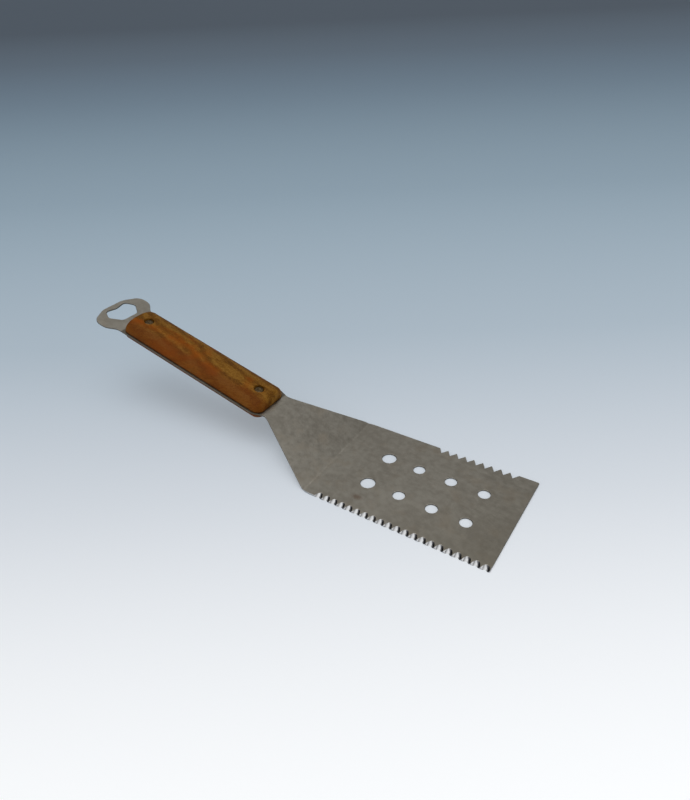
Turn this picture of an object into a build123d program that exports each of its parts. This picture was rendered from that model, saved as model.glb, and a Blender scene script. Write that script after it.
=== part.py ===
"""Grill spatula: a stamped steel blade and tang with a bottle opener, and a riveted wooden grip.

Row frame: +X runs along the tool to the blade tip, +Y to the saw-toothed edge and +Z up.
The blade's underside lies on Z = 0, and the origin is at the centre of the tool's length and width.
"""
import os
from math import atan2, cos, degrees, radians, sin

from build123d import *

# Driving dimensions, in millimetres and degrees
SHEET = 1.5  # thickness of the stamped sheet
EDGE_BREAK = 0.25  # tumbled edge left around every stamped outline

BLADE_LENGTH = 153.0  # tip to the bend line of the shoulder
BLADE_WIDTH = 100.0
TIP_CORNER_RADIUS = 1.0
HEEL_CORNER_RADIUS = 22.0  # where the blade's side turns into the shoulder

SHOULDER_RUN = 60.5  # bend line to the neck, along X
SHOULDER_RISE = 26.9
BEND_RADIUS = 5.0  # mid-plane of the sheet, at both bends

NECK_HALF_WIDTH = 16.2
NECK_RADIUS = 12.0
NECK_STRAIGHT = 2.5  # parallel stretch on the handle's side of the neck

TANG_PITCH = 14.6  # rise of the handle above the blade's plane
TANG_HALF_WIDTH = 20.0
TANG_LENGTH = 198.5  # neck to the opener's far end, along the tang
TANG_FLARE_END = 11.5  # where the tang reaches its full width
WAIST = 168.0  # where the tang widens into the opener
WAIST_HALF_WIDTH = 19.7
WAIST_RADIUS = 10.0

HEAD_HALF_WIDTH = 27.2
HEAD_SHOULDER = 177.5  # where the opener's sides become parallel
HEAD_CORNER = 191.0  # where they turn into its rounded end
HEAD_END_HALF = 11.5
HEAD_END_RADIUS = 14.0
HEAD_SHOULDER_RADIUS = 13.0
HEAD_CORNER_RADIUS = 10.0

OPENER_BACK = 174.6  # inner edge of the aperture, nearest the grip
OPENER_BACK_HALF = 8.5
OPENER_WIDEST = 185.5
OPENER_HALF_WIDTH = 15.9
OPENER_LOBE = 194.6
OPENER_LOBE_HALF = 11.0
OPENER_TONGUE = 192.2  # lip that catches under a crown cap
OPENER_RADIUS = 4.5
OPENER_TONGUE_RADIUS = 5.0

DRAIN_FIRST = 31.6  # tip to the first pair of holes
DRAIN_PITCH = 27.5
DRAIN_ROW = 17.0  # distance of each row from the centreline
DRAIN_PAIRS = 4
DRAIN_DIAMETER = 9.6
DRAIN_LAST_DIAMETER = 11.8  # the pair nearest the handle is larger

SAW_TEETH = 9
SAW_PITCH = 7.6
SAW_DEPTH = 5.5
SAW_TIP_MARGIN = 15.9  # plain edge between the last notch and the tip

FLUTES = 21
FLUTE_PITCH = 6.77
FLUTE_RADIUS = 4.25
FLUTE_REACH = 5.0  # how far a flute runs in from the edge, on the top face
FLUTE_BITE = 1.0  # how far it cuts back the edge itself

GRIP_SHIFT = 1.4  # the tang and the grip lie this far towards the fluted edge from the centreline
GRIP_START = 5.0
GRIP_END = 163.2
GRIP_HALF_WIDTH = 18.3
GRIP_SECTION_HALF = 18.8  # the domed section is wider than the scale, which leaves short upright sides
GRIP_CROWN = 9.4  # thickness of one scale at its centreline
GRIP_CROWN_FLAT = 3.5  # half-width of the flat along the crown
GRIP_FRONT_HALF = 13.5
GRIP_BUTT_RADIUS = 6.0
GRIP_FRONT_RADIUS = 3.0
GRIP_FRONT_ROUNDING = 6.0  # radius over the crown at the front end
GRIP_BUTT_ROUNDING = 3.0  # the same at the opener's end

RIVET_SPOTS = {"front": 20.0, "rear": 148.5}  # distance from the neck
RIVET_RECESS_DIAMETER = 9.0
RIVET_RECESS_DEPTH = 2.4
RIVET_HEAD_DIAMETER = 7.4
RIVET_HEAD_THICKNESS = 1.1
RIVET_TUBE_DIAMETER = 5.0
RIVET_PIN_DIAMETER = 3.2
RIVET_CLEARANCE = 0.1  # radial, between the tube and its hole
RIVET_PIN_TIP_GAP = 1.5

# Derived places in the row frame
TANG_LEAN = (SHEET / 2 - EDGE_BREAK) * sin(radians(TANG_PITCH))  # the end wall leans out below the mid-plane
TANG_RUN = TANG_LENGTH * cos(radians(TANG_PITCH)) + TANG_LEAN
CUT_MARGIN = 20.0
SKIN_NORMAL_Z = 0.5  # a face of the sheet that looks up or down is part of a skin, not a cut wall
TIP_X = (BLADE_LENGTH + SHOULDER_RUN + TANG_RUN) / 2
BEND_X = TIP_X - BLADE_LENGTH
NECK_X = BEND_X - SHOULDER_RUN
HALF_BLADE = BLADE_WIDTH / 2
TANG_HOLE_DIAMETER = RIVET_TUBE_DIAMETER + 2 * RIVET_CLEARANCE


def tang_plane():
    """Plane of the tang's top face: x runs from the neck to the opener, y to the fluted edge, z out of it."""
    pitch = radians(TANG_PITCH)
    normal = Vector(sin(pitch), 0, cos(pitch))
    origin = Vector(NECK_X, 0, SHEET / 2 + SHOULDER_RISE) + normal * (SHEET / 2)
    return Plane(origin=origin, x_dir=(-cos(pitch), 0, sin(pitch)), z_dir=normal)


def bent_strip():
    """The sheet seen from its side, with both bends, as wide as any part of the tool."""
    pitch = radians(TANG_PITCH)
    over = TANG_LENGTH + CUT_MARGIN
    middle = SHEET / 2
    path = FilletPolyline(
        (TIP_X, middle),
        (BEND_X, middle),
        (NECK_X, middle + SHOULDER_RISE),
        (NECK_X - over * cos(pitch), middle + SHOULDER_RISE + over * sin(pitch)),
        radius=BEND_RADIUS,
    )
    side = Plane.XZ * trace(path, SHEET)
    return extrude(side, amount=HALF_BLADE + CUT_MARGIN, both=True)


def rounded_outline(corners, opposite=None):
    """Closed outline from one side's corners, each (x, y, radius); the opposite side is mirrored about x."""
    mirrored = [(x, -y, radius) for x, y, radius in reversed(opposite or corners) if y]
    loop = corners + mirrored
    outline = make_face(Polyline([(x, y) for x, y, radius in loop], close=True))
    for x, y, radius in loop:
        if radius:
            corner = outline.vertices().sort_by_distance(Vector(x, y, 0))[0]
            outline = fillet(corner, radius)
    return outline


def blade_outline():
    """Plan of the blade and its trapezoid shoulder, down to the parallel neck."""
    return rounded_outline([
        (TIP_X, HALF_BLADE, TIP_CORNER_RADIUS),
        (BEND_X, HALF_BLADE, HEEL_CORNER_RADIUS),
        (NECK_X, NECK_HALF_WIDTH, NECK_RADIUS),
        (NECK_X - NECK_RADIUS, NECK_HALF_WIDTH, 0),
    ])


def tang_side(shift):
    """Corners of one side of the tang and the opener, with the tang's edge moved out by the shift."""
    return [
        (-NECK_STRAIGHT, NECK_HALF_WIDTH, 0),
        (NECK_STRAIGHT, NECK_HALF_WIDTH, NECK_RADIUS),
        (TANG_FLARE_END, TANG_HALF_WIDTH + shift, NECK_RADIUS),
        (WAIST, WAIST_HALF_WIDTH + shift, WAIST_RADIUS),
        (HEAD_SHOULDER, HEAD_HALF_WIDTH, HEAD_SHOULDER_RADIUS),
        (HEAD_CORNER, HEAD_HALF_WIDTH, HEAD_CORNER_RADIUS),
        (TANG_LENGTH, HEAD_END_HALF, HEAD_END_RADIUS),
    ]


def tang_outline():
    """Tang and opener in the tang's own plane, from the neck outwards."""
    return rounded_outline(tang_side(GRIP_SHIFT), tang_side(-GRIP_SHIFT))


def opener_aperture():
    """Opening of the bottle opener: a wide slot whose far side carries the cap lip."""
    return rounded_outline([
        (OPENER_BACK, OPENER_BACK_HALF, OPENER_RADIUS),
        (OPENER_WIDEST, OPENER_HALF_WIDTH, OPENER_RADIUS),
        (OPENER_LOBE, OPENER_LOBE_HALF, OPENER_RADIUS),
        (OPENER_TONGUE, 0, OPENER_TONGUE_RADIUS),
    ])


def drain_holes():
    """Two rows of drain holes through the blade."""
    holes = Part()
    for pair in range(DRAIN_PAIRS):
        last = pair == DRAIN_PAIRS - 1
        diameter = DRAIN_LAST_DIAMETER if last else DRAIN_DIAMETER
        x = TIP_X - DRAIN_FIRST - DRAIN_PITCH * pair
        for y in (-DRAIN_ROW, DRAIN_ROW):
            holes += Pos(x, y, SHEET / 2) * Cylinder(diameter / 2, CUT_MARGIN)
    return holes


def saw_notches():
    """Symmetric V notches that leave the saw teeth on the +Y edge."""
    notch = make_face(Polyline(
        (-SAW_PITCH / 2, 0),
        (0, -SAW_DEPTH),
        (SAW_PITCH / 2, 0),
        (SAW_PITCH / 2, SAW_PITCH),
        (-SAW_PITCH / 2, SAW_PITCH),
        close=True,
    ))
    cutter = extrude(notch, amount=CUT_MARGIN / 2, both=True)
    first = TIP_X - SAW_TIP_MARGIN - SAW_PITCH / 2
    return [Pos(first - SAW_PITCH * tooth, HALF_BLADE, 0) * cutter for tooth in range(SAW_TEETH)]


def edge_flutes():
    """Hollow-ground flutes along the top of the -Y edge; their ridges are the cutting points."""
    slope = atan2(SHEET, FLUTE_REACH - FLUTE_BITE)
    cutter_length = 3 * FLUTE_REACH + CUT_MARGIN
    cutter = Rot(90 + degrees(slope), 0, 0) * Cylinder(FLUTE_RADIUS, cutter_length)
    inner_y = -HALF_BLADE + FLUTE_REACH
    lift = FLUTE_RADIUS / cos(slope)
    flutes = []
    for flute in range(FLUTES):
        x = TIP_X - FLUTE_PITCH * (flute + 0.5)
        flutes.append(Pos(x, inner_y, SHEET + lift) * cutter)
    return flutes


def rim_edges(plate):
    """Edges where the sheet's two skins meet its cut walls, around the outline and every opening."""
    skin_edges = set()
    wall_edges = set()
    for face in plate.faces():
        is_skin = abs(face.normal_at().Z) > SKIN_NORMAL_Z
        (skin_edges if is_skin else wall_edges).update(face.edges())
    return list(skin_edges & wall_edges)


def spatula_plate():
    """Blade, shoulder, tang and opener: one stamped and bent sheet."""
    half_depth = SHOULDER_RISE + TANG_LENGTH
    blade_prism = extrude(blade_outline(), amount=half_depth, both=True)
    tang_prism = extrude(tang_plane() * tang_outline(), amount=CUT_MARGIN, both=True)
    plate = bent_strip() & (blade_prism + tang_prism)
    plate -= drain_holes()
    plate -= extrude(tang_plane() * opener_aperture(), amount=CUT_MARGIN, both=True)
    for spot in RIVET_SPOTS.values():
        hole = Pos(spot, GRIP_SHIFT, 0) * Cylinder(TANG_HOLE_DIAMETER / 2, CUT_MARGIN)
        plate -= tang_plane() * hole
    plate = chamfer(rim_edges(plate), EDGE_BREAK)
    plate -= saw_notches()
    plate -= edge_flutes()
    return plate


def grip_scale():
    """One wooden scale in tang coordinates, its flat back on z = 0 and its crown up."""
    plan = rounded_outline([
        (GRIP_START, GRIP_FRONT_HALF, GRIP_FRONT_RADIUS),
        (TANG_FLARE_END, GRIP_HALF_WIDTH, NECK_RADIUS),
        (GRIP_END, GRIP_HALF_WIDTH, GRIP_BUTT_RADIUS),
    ])
    shoulder_width = GRIP_SECTION_HALF - GRIP_CROWN_FLAT
    section = make_face([
        Line((-GRIP_SECTION_HALF, 0), (GRIP_SECTION_HALF, 0)),
        EllipticalCenterArc((GRIP_CROWN_FLAT, 0), shoulder_width, GRIP_CROWN, 0, arc_size=90),
        Line((GRIP_CROWN_FLAT, GRIP_CROWN), (-GRIP_CROWN_FLAT, GRIP_CROWN)),
        EllipticalCenterArc((-GRIP_CROWN_FLAT, 0), shoulder_width, GRIP_CROWN, 90, arc_size=90),
    ])
    profile = rounded_outline([
        (GRIP_START, GRIP_CROWN, GRIP_FRONT_ROUNDING),
        (GRIP_END, GRIP_CROWN, GRIP_BUTT_ROUNDING),
    ])
    bar = extrude(Plane.YZ * section, amount=GRIP_END + CUT_MARGIN)
    side = extrude(Plane.XZ * profile, amount=CUT_MARGIN, both=True)
    scale = extrude(plan, amount=GRIP_CROWN) & bar & side
    for spot in RIVET_SPOTS.values():
        scale -= Pos(spot, 0, GRIP_CROWN / 2) * Cylinder(TANG_HOLE_DIAMETER / 2, 2 * GRIP_CROWN)
        recess_z = GRIP_CROWN - RIVET_RECESS_DEPTH / 2
        scale -= Pos(spot, 0, recess_z) * Cylinder(RIVET_RECESS_DIAMETER / 2, RIVET_RECESS_DEPTH)
    return scale


def rivet_grip():
    """Distance between the two recess floors that a rivet clamps."""
    return SHEET + 2 * (GRIP_CROWN - RIVET_RECESS_DEPTH)


def rivet_head():
    """Low domed head standing on z = 0."""
    head = Pos(0, 0, RIVET_HEAD_THICKNESS / 2) * Cylinder(RIVET_HEAD_DIAMETER / 2, RIVET_HEAD_THICKNESS)
    rim = head.edges().sort_by(Axis.Z)[-1]
    return fillet(rim, RIVET_HEAD_THICKNESS / 2)


def rivet_post():
    """Upper half: a head with a solid pin that points down from z = 0."""
    length = rivet_grip() - RIVET_PIN_TIP_GAP
    pin = Pos(0, 0, -length / 2) * Cylinder(RIVET_PIN_DIAMETER / 2, length)
    return rivet_head() + pin


def rivet_socket():
    """Lower half: a head with a tube that the pin is pressed into, seen from its own head."""
    length = rivet_grip() - RIVET_PIN_TIP_GAP / 2
    tube = Pos(0, 0, -length / 2) * Cylinder(RIVET_TUBE_DIAMETER / 2, length)
    bore = Pos(0, 0, -length / 2) * Cylinder(RIVET_PIN_DIAMETER / 2, length)
    return rivet_head() + (tube - bore)


def main():
    top = tang_plane() * Pos(0, GRIP_SHIFT, 0)
    underside = top * Pos(0, 0, -SHEET)
    flipped = Rot(180, 0, 0)
    upper_floor = GRIP_CROWN - RIVET_RECESS_DEPTH
    lower_floor = -SHEET - upper_floor

    nodes = {
        "spatula_plate": spatula_plate(),
        "upper_scale": top * grip_scale(),
        "lower_scale": underside * (flipped * grip_scale()),
    }
    for place, spot in RIVET_SPOTS.items():
        nodes[f"{place}_rivet_post"] = top * (Pos(spot, 0, upper_floor) * rivet_post())
        nodes[f"{place}_rivet_socket"] = top * (Pos(spot, 0, lower_floor) * (flipped * rivet_socket()))

    os.makedirs("parts", exist_ok=True)
    for name, shape in nodes.items():
        shape.label = name
        export_step(shape, f"parts/{name}.step")
        box = shape.bounding_box()
        print(name, "solids", len(shape.solids()), "volume", round(shape.volume), box.min, box.max)


main()
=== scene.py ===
"""Looks of the grill spatula, around the CAD frame: wooden scales, rivets, finishes and studio.

Row frame, in metres: +X to the blade tip, +Y to the saw-toothed edge, +Z up, blade flat on Z = 0.
Handle coordinates: u from the neck to the opener, v the same as Y, h out of the tang's top face.
"""
import math

import bmesh
import bpy
from mathutils import Matrix, Vector


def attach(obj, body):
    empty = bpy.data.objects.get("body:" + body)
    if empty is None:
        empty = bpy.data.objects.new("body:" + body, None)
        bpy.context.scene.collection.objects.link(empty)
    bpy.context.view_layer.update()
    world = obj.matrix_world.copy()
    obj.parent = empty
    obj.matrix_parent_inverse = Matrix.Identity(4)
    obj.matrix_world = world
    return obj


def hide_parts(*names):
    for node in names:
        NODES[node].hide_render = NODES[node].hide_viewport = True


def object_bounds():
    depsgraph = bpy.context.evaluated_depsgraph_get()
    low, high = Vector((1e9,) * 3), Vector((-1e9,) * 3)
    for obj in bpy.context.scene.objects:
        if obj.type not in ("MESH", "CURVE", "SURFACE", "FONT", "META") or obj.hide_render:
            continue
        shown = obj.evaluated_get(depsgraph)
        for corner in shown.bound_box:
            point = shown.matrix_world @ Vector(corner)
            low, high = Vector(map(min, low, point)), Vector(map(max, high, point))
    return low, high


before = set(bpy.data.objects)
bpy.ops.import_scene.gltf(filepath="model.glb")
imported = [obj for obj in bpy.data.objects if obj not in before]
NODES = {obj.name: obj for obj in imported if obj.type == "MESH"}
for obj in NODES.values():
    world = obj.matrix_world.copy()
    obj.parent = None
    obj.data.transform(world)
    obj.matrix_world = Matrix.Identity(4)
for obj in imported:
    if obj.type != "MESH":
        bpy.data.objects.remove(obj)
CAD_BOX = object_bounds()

MM = 0.001
BLADE_TIP_X = CAD_BOX[1].x
HALF_BLADE = CAD_BOX[1].y
SHEET = 1.5 * MM

# The handle's own axes, from the same sizes as in the CAD
TANG_PITCH = math.radians(14.6)  # rise of the handle above the blade's plane
TIP_TO_NECK = 213.5 * MM
SHOULDER_RISE = 26.9 * MM
ALONG = Vector((-math.cos(TANG_PITCH), 0, math.sin(TANG_PITCH)))
ACROSS = Vector((0, 1, 0))
NORMAL = Vector((math.sin(TANG_PITCH), 0, math.cos(TANG_PITCH)))
NECK = Vector((BLADE_TIP_X - TIP_TO_NECK, 0, SHEET / 2 + SHOULDER_RISE))  # on the sheet's mid-plane
TANG_ORIGIN = NECK + NORMAL * (SHEET / 2)

# Wooden scales
GRIP_SHIFT = -1.4 * MM  # the grip lies off the centreline, towards the fluted edge
GRIP_START = 5.0 * MM
GRIP_END = 163.2 * MM
GRIP_HALF_WIDTH = 18.3 * MM
GRIP_FRONT_HALF = 13.5 * MM
GRIP_FLARE = 7.5 * MM  # length over which the front widens
FRONT_CORNER = 2.0 * MM
GRIP_CROWN = 9.4 * MM
SECTION_POWER = 2.35  # 2 is an ellipse, larger is boxier
FRONT_ROUNDING = 6.0 * MM
BUTT_ROUNDING = 3.5 * MM
BUTT_CORNER = 6.0 * MM
EDGE_GAP = 0.05 * MM  # the scales stay clear of the steel by this much
END_RUN = 11.0 * MM  # stretch at each end with closer stations
END_STEPS = 22
MIDDLE_STEPS = 60
SECTION_SEGMENTS = 56

# Rivets
RIVET_SPOTS = {"front": 20.0 * MM, "rear": 148.5 * MM}
RECESS_RADIUS = 4.5 * MM
RECESS_DEPTH = 2.4 * MM
RECESS_FLARE = 0.5 * MM
HEAD_RADIUS = 3.7 * MM
HEAD_THICKNESS = 1.1 * MM
PIN_RADIUS = 1.6 * MM
PIN_CHAMFER = 0.4 * MM
TUBE_RADIUS = 2.5 * MM
TUBE_CLEARANCE = 0.1 * MM  # between the tube and its hole in the wood
BORE_CLEARANCE = 0.02 * MM  # between the pin and the tube
PIN_TIP_GAP = 1.5 * MM
DIMPLE_RADIUS = 1.3 * MM
DIMPLE_DEPTH = 0.3 * MM
RIVET_SEGMENTS = 48
DIMPLE_STEPS = 5
HEAD_EDGE_STEPS = 8
RECESS_STEPS = 6
CUTTER_MARGIN = 2.0 * MM

# Camera: beyond the tip on the fluted side, looking back across the tool to its opener
CAMERA_PLACE = Vector((BLADE_TIP_X + 78.3 * MM, -324.5 * MM, 334.2 * MM))
CAMERA_YAW = math.radians(-34.39)  # from +Y towards -X
CAMERA_PITCH = math.radians(34.91)  # below the horizon
CAMERA_ROLL = math.radians(2.61)
CAMERA_LENS = 28.05
SENSOR_WIDTH = 36.0  # on the picture's long side


def tang_matrix():
    """Handle coordinates (u, v, h) to the row frame."""
    return Matrix((
        (ALONG.x, ACROSS.x, NORMAL.x, TANG_ORIGIN.x),
        (ALONG.y, ACROSS.y, NORMAL.y, TANG_ORIGIN.y),
        (ALONG.z, ACROSS.z, NORMAL.z, TANG_ORIGIN.z),
        (0, 0, 0, 1)))


def flip_below():
    """Handle coordinates mirrored about the middle of the sheet, for what lies under the tang."""
    return Matrix.Translation((0, 0, -SHEET)) @ Matrix.Diagonal((1, 1, -1, 1))


# ---------------------------------------------------------------- node helpers

class Nodes:
    """A short way to write a material's node tree."""

    def __init__(self, name):
        self.material = bpy.data.materials.new(name)
        self.material.use_nodes = True
        self.tree = self.material.node_tree
        self.shader = self.tree.nodes["Principled BSDF"]
        coordinates = self.tree.nodes.new("ShaderNodeTexCoord")
        self.position = coordinates.outputs["Object"]

    def link(self, source, target):
        self.tree.links.new(source, target)

    def node(self, kind, inputs=None, **settings):
        node = self.tree.nodes.new(kind)
        for name, value in settings.items():
            setattr(node, name, value)
        for name, value in (inputs or {}).items():
            socket = node.inputs[name]
            if isinstance(value, bpy.types.NodeSocket):
                self.link(value, socket)
            else:
                socket.default_value = value
        return node

    def mapped(self, scale, rotation=(0, 0, 0), source=None):
        inputs = {"Vector": source or self.position, "Scale": scale, "Rotation": rotation}
        return self.node("ShaderNodeMapping", inputs).outputs["Vector"]

    def noise(self, vector, scale, detail=4.0, roughness=0.55):
        inputs = {"Vector": vector, "Scale": scale, "Detail": detail, "Roughness": roughness}
        return self.node("ShaderNodeTexNoise", inputs).outputs["Fac"]

    def math(self, operation, first, second=0.0):
        return self.node("ShaderNodeMath", {0: first, 1: second}, operation=operation).outputs[0]

    def scaled_sum(self, value, factor, added):
        """value * factor + added"""
        inputs = {0: value, 1: factor, 2: added}
        return self.node("ShaderNodeMath", inputs, operation="MULTIPLY_ADD").outputs[0]

    def offset(self, origin):
        """Vector from origin to the shaded point."""
        inputs = {0: self.position, 1: origin}
        return self.node("ShaderNodeVectorMath", inputs, operation="SUBTRACT").outputs["Vector"]

    def dot(self, vector, axis):
        inputs = {0: vector, 1: axis}
        return self.node("ShaderNodeVectorMath", inputs, operation="DOT_PRODUCT").outputs["Value"]

    def axes(self, vector):
        """X, Y and Z of a vector, by name."""
        return self.node("ShaderNodeSeparateXYZ", {"Vector": vector}).outputs

    def spread(self, value, low, high, to_low=0.0, to_high=1.0):
        """Value rescaled from low..high to to_low..to_high, clamped and eased."""
        inputs = {"Value": value, "From Min": low, "From Max": high, "To Min": to_low,
                  "To Max": to_high}
        node = self.node("ShaderNodeMapRange", inputs, interpolation_type="SMOOTHSTEP")
        return node.outputs["Result"]

    def mix(self, factor, first, second):
        node = self.node("ShaderNodeMix", data_type="RGBA")
        sockets = (node.inputs[0], node.inputs[6], node.inputs[7])
        for socket, value in zip(sockets, (factor, first, second)):
            if isinstance(value, bpy.types.NodeSocket):
                self.link(value, socket)
            else:
                socket.default_value = value
        return node.outputs[2]

    def ramp(self, factor, stops, interpolation="LINEAR"):
        node = self.node("ShaderNodeValToRGB", {"Fac": factor})
        node.color_ramp.interpolation = interpolation
        elements = node.color_ramp.elements
        while len(elements) < len(stops):
            elements.new(0.5)
        for element, (position, colour) in zip(elements, stops):
            element.position = position
            element.color = (*colour, 1.0)
        return node.outputs["Color"]

    def bump(self, height, distance, strength, normal=None):
        inputs = {"Height": height, "Distance": distance, "Strength": strength}
        if normal is not None:
            inputs["Normal"] = normal
        return self.node("ShaderNodeBump", inputs).outputs["Normal"]


def srgb(red, green, blue):
    """Linear colour from 0..255 display values."""
    def linear(value):
        value /= 255
        return value / 12.92 if value <= 0.04045 else ((value + 0.055) / 1.055) ** 2.4
    return (linear(red), linear(green), linear(blue))


# ---------------------------------------------------------------- materials

STEEL_LIGHT = (0.375, 0.352, 0.305)
STEEL_DARK = (0.30, 0.277, 0.235)
STEEL_WARM = (0.33, 0.265, 0.19)
# darker tone towards the corner of the tip and the fluted edge
STEEL_DARKER_CORNER = (0.22, 0.20, 0.155)
STEEL_SCRATCH = (0.47, 0.45, 0.41)
STEEL_STAIN = (0.17, 0.10, 0.06)
STEEL_WALL_SHADE = (0.13, 0.12, 0.105)  # painted shade on the steep walls and edge chamfers of the sheet
STEEL_GRIP_SHADE = (0.10, 0.082, 0.058)  # painted shade on the margin of the tang along the wood
GROUND_BRIGHT = (0.38, 0.385, 0.395)
# painted shade for the walls of the ground flutes that face -X
GROUND_PAINTED_SHADE = (0.075, 0.075, 0.08)
GROUND_ROUGHNESS = (0.28, 0.28, 0.28, 1)
STAIN_PLACE = Vector((89.9 * MM, -34.9 * MM, SHEET))
STAIN_RADIUS = 6.0 * MM
STAIN_CORE = 2.1 * MM
STAIN_STRETCH = (0.62, 1.0, 1.0)  # the spot is longer along X
STAIN_RAGGEDNESS = 4.0 * MM
SCRATCH_ANGLE = 0.12
DARKER_CORNER_SIDE = (0.75, -0.66, 0)  # towards the corner of the tip and the fluted edge
GROUND_BAND = 5.2 * MM  # width of the ground flutes along the -Y edge
GRAIN_RELIEF = 0.03 * MM
WAVE_RELIEF = 1.2 * MM
GRIP_FADE = 2.0 * MM  # length over which the painted shade beside the grip begins and ends


def stained_spot(nodes):
    """1 at the small heat stain on the blade, falling to 0 around it."""
    stretched = nodes.mapped(STAIN_STRETCH, source=nodes.offset(STAIN_PLACE))
    length = nodes.node("ShaderNodeVectorMath", {0: stretched}, operation="LENGTH")
    distance = length.outputs["Value"]
    ragged = nodes.scaled_sum(nodes.noise(nodes.position, 700.0), STAIN_RAGGEDNESS, distance)
    return nodes.spread(ragged, STAIN_RADIUS, STAIN_CORE)


def beside_grip(nodes):
    """1 on the part of the tang between the scales, falling to 0 just past their ends."""
    along = nodes.dot(nodes.offset(TANG_ORIGIN), ALONG)
    outside, inside = GRIP_FADE * 0.75, GRIP_FADE * 0.25
    past_front = nodes.spread(along, GRIP_START - outside, GRIP_START + inside)
    before_butt = nodes.spread(along, GRIP_END + outside, GRIP_END - inside)
    return nodes.math("MULTIPLY", past_front, before_butt)


def sheet_colour(nodes, clouds, mottle, scratches):
    """Mottled grey of the rolled sheet, with scratches, the heat stain and a corner that darkens
    towards the tip's fluted side.
    """
    tone = nodes.scaled_sum(clouds, 0.55, nodes.math("MULTIPLY", mottle, 0.45))
    colour = nodes.mix(nodes.spread(tone, 0.36, 0.64), (*STEEL_DARK, 1), (*STEEL_LIGHT, 1))
    warm = nodes.noise(nodes.position, 55.0, detail=3.0)
    colour = nodes.mix(nodes.spread(warm, 0.5, 0.72, 0.0, 0.3), colour, (*STEEL_WARM, 1))
    colour = nodes.mix(nodes.spread(scratches, 0.60, 0.74, 0.0, 0.25), colour, (*STEEL_SCRATCH, 1))
    colour = nodes.mix(nodes.math("MULTIPLY", stained_spot(nodes), 0.6), colour, (*STEEL_STAIN, 1))
    corner_darkening = nodes.scaled_sum(clouds, 0.05, nodes.dot(nodes.position, DARKER_CORNER_SIDE))
    return nodes.mix(nodes.spread(corner_darkening, 0.12, 0.23, 0.0, 0.6), colour, (*STEEL_DARKER_CORNER, 1))


def make_steel():
    """Dull rolled sheet and bright ground flutes, with painted shade on the steep walls, on the
    tang beside the grip and on the flute walls facing -X.
    """
    nodes = Nodes("rolled_steel")
    clouds = nodes.noise(nodes.position, 26.0, detail=5.0, roughness=0.6)
    mottle = nodes.noise(nodes.position, 210.0, detail=6.0, roughness=0.65)
    rolled = nodes.noise(nodes.mapped((18.0, 900.0, 900.0)), 1.0, detail=3.0)
    scratched = nodes.mapped((40.0, 2600.0, 2600.0), rotation=(0, 0, SCRATCH_ANGLE))
    scratches = nodes.noise(scratched, 1.0, detail=2.0)
    colour = sheet_colour(nodes, clouds, mottle, scratches)

    facing = nodes.axes(nodes.node("ShaderNodeNewGeometry").outputs["True Normal"])
    # painted shade: faces tilted well away from flat, the cut walls and chamfers, are darkened by
    # how they face
    wall_shade = nodes.spread(nodes.math("ABSOLUTE", facing["Z"]), 0.85, 0.55, 0.0, 0.9)
    colour = nodes.mix(wall_shade, colour, (*STEEL_WALL_SHADE, 1))
    # painted shade on the tang between the scales, along the wood
    colour = nodes.mix(nodes.math("MULTIPLY", beside_grip(nodes), 0.8), colour, (*STEEL_GRIP_SHADE, 1))

    place = nodes.axes(nodes.position)
    from_edge = nodes.math("ADD", place["Y"], HALF_BLADE)
    near_edge = nodes.spread(from_edge, GROUND_BAND, GROUND_BAND * 0.85)
    below_top = nodes.spread(place["Z"], SHEET * 0.99, SHEET * 0.95)
    ground = nodes.math("MULTIPLY", near_edge, below_top)
    # painted shade: the flute walls that face -X are darkened by their facing; the darkened share
    # grows away from the edge
    limit = nodes.spread(from_edge, 0.0, GROUND_BAND, -0.48, 0.2)
    flute_shade = nodes.spread(nodes.math("SUBTRACT", facing["X"], limit), 0.12, -0.12)
    ground_colour = nodes.mix(flute_shade, (*GROUND_BRIGHT, 1), (*GROUND_PAINTED_SHADE, 1))
    nodes.link(nodes.mix(ground, colour, ground_colour), nodes.shader.inputs["Base Color"])

    roughness = nodes.scaled_sum(mottle, 0.22, nodes.scaled_sum(rolled, 0.12, 0.22))
    roughness = nodes.mix(ground, roughness, GROUND_ROUGHNESS)
    nodes.link(roughness, nodes.shader.inputs["Roughness"])
    nodes.shader.inputs["Metallic"].default_value = 1.0

    waves = nodes.bump(clouds, WAVE_RELIEF, 0.35)
    grain = nodes.bump(rolled, GRAIN_RELIEF, 0.5, waves)
    fine = nodes.bump(scratches, GRAIN_RELIEF, 0.5, grain)
    nodes.link(fine, nodes.shader.inputs["Normal"])
    return nodes.material


WOOD_DARK = srgb(78, 46, 9)
WOOD_MID = srgb(110, 72, 18)
WOOD_LIGHT = srgb(138, 98, 36)
WOOD_ORANGE = srgb(134, 64, 0)
# darker, redder tone of the painted shade on the -Y side
WOOD_SHADED_SIDE = srgb(94, 43, 0)
# colour of the wood's pores, also used for the painted shade along the steel
WOOD_PORES_AND_GAP_SHADE = srgb(40, 20, 6)
GAP_SHADE_HEIGHT = 1.3 * MM  # painted shade: dark line where the wood meets the steel
GAP_SHADE_RAGGEDNESS = 0.6 * MM
SIDE_SHADE_FROM = -0.2 * MM  # painted shade on the -Y side: the wood turns darker and redder from here to the next value, towards -Y
SIDE_SHADE_TO = -8.0 * MM
SIDE_SHADE_WAVES = 10.0 * MM
WOOD_RELIEF = 0.2 * MM
PORE_DEPTH = 0.12 * MM


def gap_shade_mask(nodes, unevenness):
    """Painted shade: 1 on the wood next to the sheet, above or below it, falling to 0 a little way
    off.
    """
    height = nodes.dot(nodes.offset(NECK), NORMAL)
    reach = nodes.math("SUBTRACT", nodes.math("ABSOLUTE", height), SHEET / 2)
    ragged = nodes.scaled_sum(unevenness, -GAP_SHADE_RAGGEDNESS, reach)
    return nodes.spread(ragged, GAP_SHADE_HEIGHT, 0.0, 0.0, 0.85)


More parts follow.
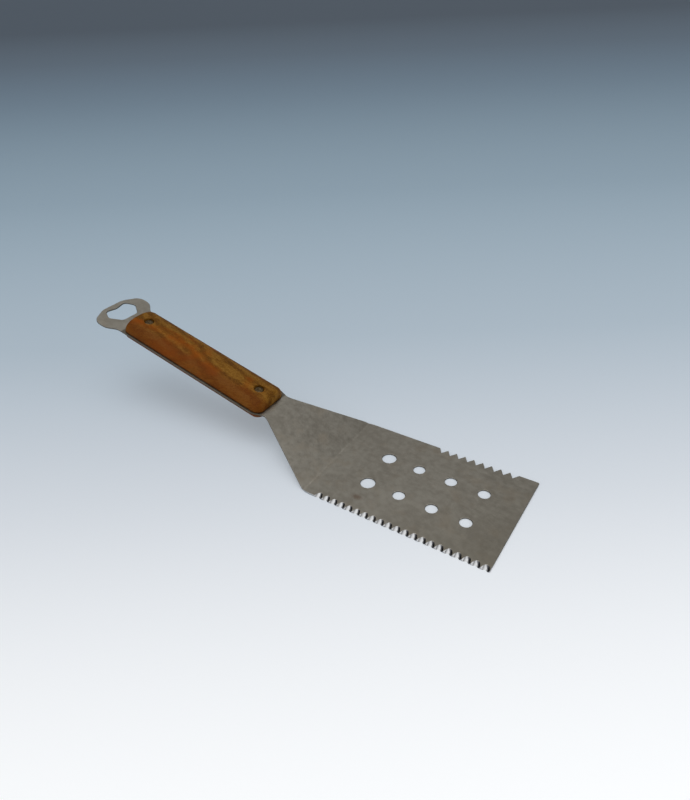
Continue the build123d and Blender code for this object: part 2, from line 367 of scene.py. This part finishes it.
def make_wood(name, seed):
    """Oiled hardwood with growth rings along the handle and dark pores, with painted shade that
    makes the -Y side darker and redder and darkens the wood along the steel.
    """
    nodes = Nodes(name)
    turned = nodes.mapped((1, 1, 1), rotation=(0, TANG_PITCH, 0))
    shifted = nodes.node("ShaderNodeVectorMath", {0: turned, 1: (seed, seed * 0.37, seed * 0.61)})
    board = shifted.outputs["Vector"]
    warp = nodes.noise(nodes.mapped((6.0, 40.0, 40.0), source=board), 1.0, detail=3.0)
    rings = nodes.node("ShaderNodeTexWave", {
        "Vector": nodes.mapped((3.0, 34.0, 26.0), rotation=(0.5, 0, 0.03), source=board),
        "Scale": 1.0, "Distortion": 11.0,
        "Detail": 5.0, "Detail Scale": 1.3, "Detail Roughness": 0.7,
    }, wave_type="BANDS", bands_direction="Y").outputs["Fac"]
    fibres = nodes.noise(nodes.mapped((30.0, 1100.0, 1100.0), source=board), 1.0, roughness=0.6)
    pores = nodes.noise(nodes.mapped((110.0, 2400.0, 2400.0), source=board), 1.0, detail=2.0)
    patches = nodes.noise(nodes.mapped((16.0, 42.0, 42.0), source=board), 1.0, detail=2.0)

    grain = nodes.scaled_sum(rings, 0.22, nodes.math("MULTIPLY", fibres, 0.78))
    colour = nodes.ramp(grain, [(0.28, WOOD_DARK), (0.5, WOOD_MID), (0.74, WOOD_LIGHT)])
    colour = nodes.mix(nodes.spread(patches, 0.52, 0.70, 0.0, 0.8), colour, (*WOOD_ORANGE, 1))
    # painted shade towards -Y, with a wavy boundary
    wavy_side = nodes.scaled_sum(warp, SIDE_SHADE_WAVES, nodes.axes(nodes.position)["Y"])
    side_shade = nodes.spread(wavy_side, SIDE_SHADE_FROM, SIDE_SHADE_TO, 0.0, 0.64)
    colour = nodes.mix(side_shade, colour, (*WOOD_SHADED_SIDE, 1))
    pore_mask = nodes.spread(pores, 0.60, 0.72, 0.0, 0.7)
    colour = nodes.mix(pore_mask, colour, (*WOOD_PORES_AND_GAP_SHADE, 1))
    # painted shade where the wood meets the steel
    colour = nodes.mix(gap_shade_mask(nodes, warp), colour, (*WOOD_PORES_AND_GAP_SHADE, 1))
    nodes.link(colour, nodes.shader.inputs["Base Color"])

    roughness = nodes.spread(grain, 0.2, 0.8, 0.62, 0.44)
    nodes.link(roughness, nodes.shader.inputs["Roughness"])
    nodes.shader.inputs["Specular IOR Level"].default_value = 0.08
    relief = nodes.bump(grain, WOOD_RELIEF, 0.5)
    pitted = nodes.bump(nodes.math("SUBTRACT", 1.0, pore_mask), PORE_DEPTH, 0.6, relief)
    nodes.link(pitted, nodes.shader.inputs["Normal"])
    return nodes.material


RIVET_OXIDE = [(0.30, (0.04, 0.032, 0.025)), (0.52, (0.11, 0.075, 0.036)),
               (0.75, (0.24, 0.185, 0.12))]
RIVET_PITTING = 0.06 * MM


def make_rivet_metal():
    """Darkened steel with brown oxide that is worn lighter in blotches."""
    nodes = Nodes("rivet_metal")
    blotches = nodes.noise(nodes.position, 900.0, detail=5.0, roughness=0.65)
    speckle = nodes.noise(nodes.position, 3000.0, detail=3.0)
    nodes.link(nodes.ramp(blotches, RIVET_OXIDE), nodes.shader.inputs["Base Color"])
    nodes.link(nodes.spread(blotches, 0.3, 0.75, 0.6, 0.36), nodes.shader.inputs["Roughness"])
    nodes.shader.inputs["Metallic"].default_value = 1.0
    nodes.link(nodes.bump(speckle, RIVET_PITTING, 0.6), nodes.shader.inputs["Normal"])
    return nodes.material


# ---------------------------------------------------------------- wooden scales

def corner_drop(distance, radius):
    """How far a rounded corner of that radius falls away, this far from the end."""
    if distance >= radius:
        return 0.0
    return radius - math.sqrt(max(radius * radius - (radius - distance) ** 2, 0.0))


def plan_half_width(u):
    """Half-width of a scale at u, seen from above."""
    from_front = u - GRIP_START
    flare = min(max(from_front / GRIP_FLARE, 0.0), 1.0)
    eased = flare * (2 - flare)
    half = GRIP_FRONT_HALF + (GRIP_HALF_WIDTH - GRIP_FRONT_HALF) * eased
    half -= corner_drop(from_front, FRONT_CORNER)
    return half - corner_drop(GRIP_END - u, BUTT_CORNER)


def crown_height(u):
    """Height of a scale's centreline at u."""
    drop = corner_drop(u - GRIP_START, FRONT_ROUNDING) + corner_drop(GRIP_END - u, BUTT_ROUNDING)
    return GRIP_CROWN - drop


def station_places():
    """Stations along the grip, closer together where its ends turn."""
    places = []
    for step in range(END_STEPS + 1):
        eased = 1 - math.cos(step / END_STEPS * math.pi / 2)
        places.append(GRIP_START + END_RUN * eased)
    middle = GRIP_END - GRIP_START - 2 * END_RUN
    for step in range(1, MIDDLE_STEPS):
        places.append(GRIP_START + END_RUN + middle * step / MIDDLE_STEPS)
    for step in range(END_STEPS + 1):
        eased = math.sin(step / END_STEPS * math.pi / 2)
        places.append(GRIP_END - END_RUN + END_RUN * eased)
    return places


def section_points(half, crown):
    """One domed cross-section from -v to +v, its ends just clear of the steel."""
    points = []
    for step in range(SECTION_SEGMENTS + 1):
        angle = math.pi * step / SECTION_SEGMENTS
        cosine, sine = math.cos(angle), math.sin(angle)
        across = -math.copysign(abs(cosine) ** (2 / SECTION_POWER), cosine) * half
        height = sine ** (2 / SECTION_POWER) * crown
        points.append((across, max(height, EDGE_GAP)))
    return points


def scale_mesh(name):
    """Closed mesh of one scale in handle coordinates, before its recesses are cut."""
    form = bmesh.new()
    rows = []
    for u in station_places():
        half, crown = plan_half_width(u), crown_height(u)
        section = section_points(half, crown)
        rows.append([form.verts.new((u, GRIP_SHIFT + v, h)) for v, h in section])
    for row, following in zip(rows, rows[1:]):
        for index in range(len(row) - 1):
            form.faces.new((row[index], row[index + 1], following[index + 1], following[index]))
        form.faces.new((row[0], following[0], following[-1], row[-1]))
    form.faces.new(rows[0])
    form.faces.new(list(reversed(rows[-1])))
    bmesh.ops.recalc_face_normals(form, faces=form.faces)
    mesh = bpy.data.meshes.new(name)
    form.to_mesh(mesh)
    form.free()
    return mesh


def lathe_mesh(name, profile):
    """Closed solid of revolution about z from (radius, z) points that start and end on the axis."""
    form = bmesh.new()
    rings = []
    for radius, z in profile:
        if radius == 0:
            rings.append([form.verts.new((0, 0, z))])
            continue
        ring = []
        for step in range(RIVET_SEGMENTS):
            angle = 2 * math.pi * step / RIVET_SEGMENTS
            ring.append(form.verts.new((radius * math.cos(angle), radius * math.sin(angle), z)))
        rings.append(ring)
    for ring, following in zip(rings, rings[1:]):
        for step in range(RIVET_SEGMENTS):
            after = (step + 1) % RIVET_SEGMENTS
            corners = [ring[step % len(ring)], ring[after % len(ring)],
                       following[after % len(following)], following[step % len(following)]]
            form.faces.new(list(dict.fromkeys(corners)))
    bmesh.ops.recalc_face_normals(form, faces=form.faces)
    mesh = bpy.data.meshes.new(name)
    form.to_mesh(mesh)
    form.free()
    return mesh


def recess_profile():
    """Cutter for a rivet's hole and recess, with a flat floor and a rim flared at the surface."""
    floor = GRIP_CROWN - RECESS_DEPTH
    hole = TUBE_RADIUS + TUBE_CLEARANCE
    profile = [(0, -CUTTER_MARGIN), (hole, -CUTTER_MARGIN), (hole, floor), (RECESS_RADIUS, floor)]
    for step in range(RECESS_STEPS + 1):
        turn = math.pi / 2 * step / RECESS_STEPS
        radius = RECESS_RADIUS + RECESS_FLARE * (1 - math.cos(turn))
        profile.append((radius, GRIP_CROWN - RECESS_FLARE * (1 - math.sin(turn))))
    profile.append((RECESS_RADIUS + RECESS_FLARE, GRIP_CROWN + CUTTER_MARGIN))
    profile.append((0, GRIP_CROWN + CUTTER_MARGIN))
    return profile


def cut(piece, cutters):
    """Cuts the cutters out of the piece, and removes them."""
    for cutter in cutters:
        modifier = piece.modifiers.new("cut", "BOOLEAN")
        modifier.operation = "DIFFERENCE"
        modifier.solver = "EXACT"
        modifier.object = cutter
    bpy.context.view_layer.update()
    evaluated = piece.evaluated_get(bpy.context.evaluated_depsgraph_get())
    mesh = bpy.data.meshes.new_from_object(evaluated)
    piece.modifiers.clear()
    piece.data = mesh
    for cutter in cutters:
        bpy.data.objects.remove(cutter)


def add_object(name, mesh):
    piece = bpy.data.objects.new(name, mesh)
    bpy.context.scene.collection.objects.link(piece)
    return piece


def shade_smooth(piece, angle):
    """Smooth shading, with edges sharper than angle kept hard."""
    mesh = piece.data
    form = bmesh.new()
    form.from_mesh(mesh)
    for face in form.faces:
        face.smooth = True
    for edge in form.edges:
        edge.smooth = len(edge.link_faces) == 2 and edge.calc_face_angle(math.pi) < angle
    form.to_mesh(mesh)
    form.free()


def finish_piece(piece, material, node):
    """Material, body, replaced CAD node and material slot of a finished piece."""
    piece.data.materials.clear()
    piece.data.materials.append(material)
    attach(piece, "root")
    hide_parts(node)


def make_scale(name, node, place, material):
    """One wooden scale with both rivet recesses, put in place over or under the tang."""
    piece = add_object(name, scale_mesh(name))
    cutters = []
    for spot in RIVET_SPOTS.values():
        cutter = add_object("cutter", lathe_mesh("cutter", recess_profile()))
        cutter.location = (spot, GRIP_SHIFT, 0)
        cutters.append(cutter)
    cut(piece, cutters)
    piece.data.transform(place)
    if place.determinant() < 0:
        piece.data.flip_normals()
    shade_smooth(piece, math.radians(35))
    finish_piece(piece, material, node)


# ---------------------------------------------------------------- rivets

def head_profile():
    """Low domed head with a shallow dimple, from its centre to its underside's rim."""
    bottom = HEAD_THICKNESS - DIMPLE_DEPTH
    profile = [(0, bottom)]
    for step in range(1, DIMPLE_STEPS + 1):
        part = step / DIMPLE_STEPS
        rise = DIMPLE_DEPTH * (1 - math.cos(part * math.pi)) / 2
        profile.append((DIMPLE_RADIUS * part, bottom + rise))
    edge = HEAD_THICKNESS * 0.6
    for step in range(1, HEAD_EDGE_STEPS + 1):
        turn = math.pi / 2 * step / HEAD_EDGE_STEPS
        radius = HEAD_RADIUS - edge + edge * math.sin(turn)
        profile.append((radius, HEAD_THICKNESS - edge * (1 - math.cos(turn))))
    profile.append((HEAD_RADIUS, 0))
    return profile


def post_profile(length):
    """Head with a solid pin that has a chamfered tip."""
    chamfer = [(PIN_RADIUS, PIN_CHAMFER - length), (PIN_RADIUS - PIN_CHAMFER, -length)]
    return head_profile() + [(PIN_RADIUS, 0), *chamfer, (0, -length)]


def socket_profile(length, depth):
    """Head with a tube that is open at its far end; its bore stops at depth below the head."""
    bore = PIN_RADIUS + BORE_CLEARANCE
    outside = [(TUBE_RADIUS, 0), (TUBE_RADIUS, -length)]
    inside = [(bore, -length), (bore, -depth), (0, -depth)]
    return head_profile() + outside + inside


def make_rivets(material):
    """Both cutlery rivets, each a post from above pressed into a socket from below."""
    floor = GRIP_CROWN - RECESS_DEPTH
    clamped = SHEET + 2 * floor
    post = post_profile(clamped - PIN_TIP_GAP)
    socket = socket_profile(clamped - PIN_TIP_GAP / 2, PIN_TIP_GAP / 4)
    for place, spot in RIVET_SPOTS.items():
        at_floor = Matrix.Translation((spot, GRIP_SHIFT, floor))
        from_above = tang_matrix() @ at_floor
        from_below = tang_matrix() @ flip_below() @ at_floor
        for half, profile, matrix in (("post", post, from_above), ("socket", socket, from_below)):
            name = f"{place}_rivet_{half}_turned"
            piece = add_object(name, lathe_mesh(name, profile))
            piece.data.transform(matrix)
            if matrix.determinant() < 0:
                piece.data.flip_normals()
            shade_smooth(piece, math.radians(40))
            finish_piece(piece, material, f"{place}_rivet_{half}")


# ---------------------------------------------------------------- studio and camera

FLOOR_HALF = 30.0  # metres
FLOOR_NEAR = (0.79, 0.80, 0.81)
# painted light falloff: the floor's tone runs from near-white on the camera's side to dark
# blue-grey far off, along the camera's heading
FLOOR_FALLOFF_STOPS = [(0.0, FLOOR_NEAR), (0.041, (0.475, 0.505, 0.55)), (0.09, (0.30, 0.365, 0.425)),
               (0.19, (0.21, 0.28, 0.34)), (0.385, (0.118, 0.165, 0.215)),
               (0.6, (0.093, 0.122, 0.156)),
               (1.0, (0.06, 0.076, 0.097))]
FLOOR_PAINTED_GLOW = 0.45  # painted light: the floor glows in its own colour, which lifts it and softens the shadow on it
FLOOR_SPAN = (-0.3, 5.0)  # metres along the camera's heading


def make_floor():
    """A wide pale table with painted light: it glows a little in its own colour, and its tone falls
    off with distance.
    """
    form = bmesh.new()
    bmesh.ops.create_grid(form, x_segments=1, y_segments=1, size=FLOOR_HALF)
    mesh = bpy.data.meshes.new("floor")
    form.to_mesh(mesh)
    form.free()
    floor = add_object("floor", mesh)
    nodes = Nodes("floor_paper")
    heading = (math.sin(CAMERA_YAW), math.cos(CAMERA_YAW), 0)
    ahead = nodes.dot(nodes.position, heading)
    inputs = {"Value": ahead, "From Min": FLOOR_SPAN[0], "From Max": FLOOR_SPAN[1]}
    part = nodes.node("ShaderNodeMapRange", inputs).outputs["Result"]
    colour = nodes.ramp(part, FLOOR_FALLOFF_STOPS, "B_SPLINE")
    nodes.link(colour, nodes.shader.inputs["Base Color"])
    # painted light: the floor glows in its own colour
    nodes.link(colour, nodes.shader.inputs["Emission Color"])
    nodes.shader.inputs["Emission Strength"].default_value = FLOOR_PAINTED_GLOW
    nodes.shader.inputs["Roughness"].default_value = 0.9
    nodes.shader.inputs["Specular IOR Level"].default_value = 0.1
    floor.data.materials.append(nodes.material)


def add_softbox(name, place, target, size, watts):
    data = bpy.data.lights.new(name, "AREA")
    data.shape = "RECTANGLE"
    data.size, data.size_y = size
    data.energy = watts
    light = bpy.data.objects.new(name, data)
    light.location = place
    light.rotation_euler = (Vector(target) - Vector(place)).to_track_quat("-Z", "Y").to_euler()
    bpy.context.scene.collection.objects.link(light)


# Each softbox: place, aim, size in metres, watts
SOFTBOXES = {
    "overhead": ((0.1, -0.55, 1.7), (0, 0, 0), (2.6, 2.2), 8.5),
    "right_side": ((1.3, 0.15, 0.62), (0.1, 0, 0), (0.9, 0.7), 3.0),
}

# Brightness of the studio tent, by direction
TENT_COLOUR = (1.0, 1.0, 0.99, 1)
TENT_GREY = 0.38
TENT_TOP = 2.0
TENT_FRONT = 0.7  # added towards -Y
TENT_DARK_SIDE = 0.08  # share that is left towards -X
TENT_MIDDLE = 0.65  # share that is left from the middle to +X


def make_world():
    """A soft studio tent: brightest overhead, brighter towards -Y, and dark towards -X."""
    world = bpy.data.worlds.new("studio")
    bpy.context.scene.world = world
    world.use_nodes = True
    tree = world.node_tree
    background = tree.nodes["Background"]
    direction = tree.nodes.new("ShaderNodeTexCoord").outputs["Generated"]
    axes = tree.nodes.new("ShaderNodeSeparateXYZ")
    tree.links.new(direction, axes.inputs[0])

    def band(axis, low, high, to_low, to_high):
        node = tree.nodes.new("ShaderNodeMapRange")
        node.interpolation_type = "SMOOTHSTEP"
        tree.links.new(axes.outputs[axis], node.inputs["Value"])
        limits = {"From Min": low, "From Max": high, "To Min": to_low, "To Max": to_high}
        for name, value in limits.items():
            node.inputs[name].default_value = value
        return node.outputs["Result"]

    def combine(operation, first, second):
        node = tree.nodes.new("ShaderNodeMath")
        node.operation = operation
        tree.links.new(first, node.inputs[0])
        tree.links.new(second, node.inputs[1])
        return node.outputs[0]

    overhead = band("Z", 0.8, 1.0, TENT_GREY, TENT_TOP)
    front = band("Y", -0.1, -0.8, 0.0, TENT_FRONT)
    dark_side = band("X", -1.0, -0.45, TENT_DARK_SIDE, 1.0)
    middle = band("X", -0.4, 0.1, 1.0, TENT_MIDDLE)
    sides = combine("MULTIPLY", dark_side, middle)
    level = combine("MULTIPLY", combine("ADD", overhead, front), sides)
    tree.links.new(level, background.inputs["Strength"])
    background.inputs["Color"].default_value = TENT_COLOUR


def make_camera():
    """Camera at CAMERA_PLACE, aimed by its yaw, pitch and roll."""
    data = bpy.data.cameras.new("camera")
    data.lens = CAMERA_LENS
    data.sensor_width = SENSOR_WIDTH
    camera = bpy.data.objects.new("camera", data)
    forward = Vector((math.sin(CAMERA_YAW) * math.cos(CAMERA_PITCH),
                      math.cos(CAMERA_YAW) * math.cos(CAMERA_PITCH),
                      -math.sin(CAMERA_PITCH)))
    level = forward.cross(Vector((0, 0, 1))).normalized()
    up = level.cross(forward)
    right = math.cos(CAMERA_ROLL) * level - math.sin(CAMERA_ROLL) * up
    top = right.cross(forward)
    camera.matrix_world = Matrix.Translation(CAMERA_PLACE) @ Matrix((
        (right.x, top.x, -forward.x, 0),
        (right.y, top.y, -forward.y, 0),
        (right.z, top.z, -forward.z, 0),
        (0, 0, 0, 1)))
    bpy.context.scene.collection.objects.link(camera)
    bpy.context.scene.camera = camera


# ---------------------------------------------------------------- the scene

make_camera()
make_floor()
for softbox, settings in SOFTBOXES.items():
    add_softbox(softbox, *settings)
make_world()
bpy.context.scene.view_settings.view_transform = "Standard"

plate = NODES["spatula_plate"]
plate.data.materials.clear()
plate.data.materials.append(make_steel())

make_scale("upper_scale_wood", "upper_scale", tang_matrix(), make_wood("upper_wood", 0.0))
make_scale("lower_scale_wood", "lower_scale", tang_matrix() @ flip_below(),
           make_wood("lower_wood", 3.1))
make_rivets(make_rivet_metal())
